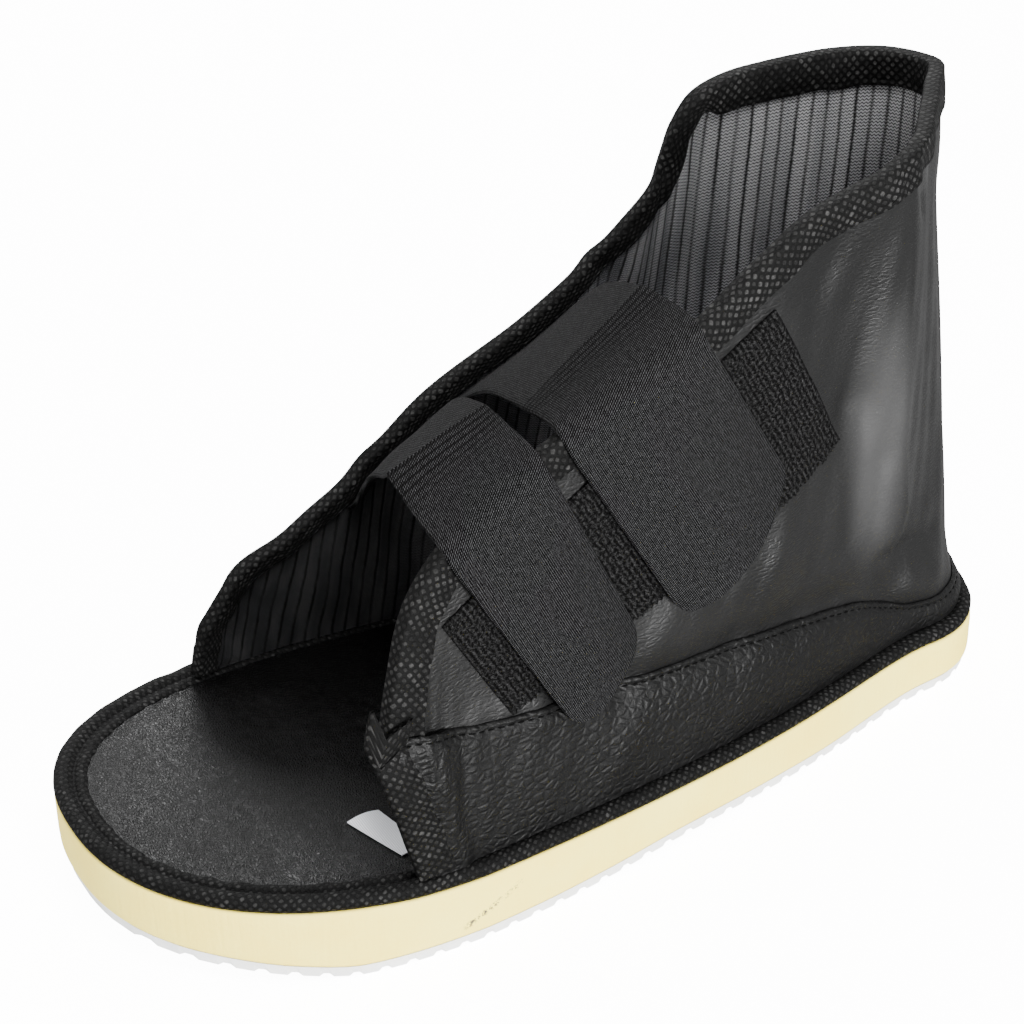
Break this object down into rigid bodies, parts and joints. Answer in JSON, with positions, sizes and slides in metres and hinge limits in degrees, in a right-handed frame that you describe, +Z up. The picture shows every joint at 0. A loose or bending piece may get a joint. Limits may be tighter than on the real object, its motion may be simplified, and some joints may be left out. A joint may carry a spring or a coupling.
{
  "type": "post operative shoe",
  "caption": "Open-toe shoe worn over a bandaged or cast foot: flat rippled sole, high wrap-round wall open at toe, throat and collar, hook-and-loop straps.",
  "frame": {"origin": "centre of the shoe's bounding box in plan, on the floor under the flat of the sole", "axes": "+Z up; the toe at -Y and the heel at +Y; +X to the wearer's left, on the side where the straps fasten"},
  "size_m": [0.1257, 0.2906, 0.188],
  "materials": {
    "foam": "smooth closed-cell foam, matt",
    "white_rubber": "matt white rubber with cross ribs",
    "footbed_leather": "grained imitation leather",
    "upper_leather": "pebbled imitation leather, low sheen, with a knitted lining inside",
    "tape": "embossed non-woven binding tape with small lighter dots",
    "hook": "woven hook fastener",
    "webbing": "napped woven loop strap",
    "ribbon_white": "plain white ribbon"
  },
  "bodies": {
    "root": {"outsole": "white_rubber", "midsole": "foam", "footbed": "footbed_leather", "footbed_binding": "tape", "upper": "upper_leather", "upper_binding": "tape", "side_band": "upper_leather", "band_binding": "tape", "hook_patch_lower": "hook", "hook_patch_upper": "hook", "strap_lower": "webbing", "strap_upper": "webbing", "ribbon": "ribbon_white"}
  },
  "joints": []
}
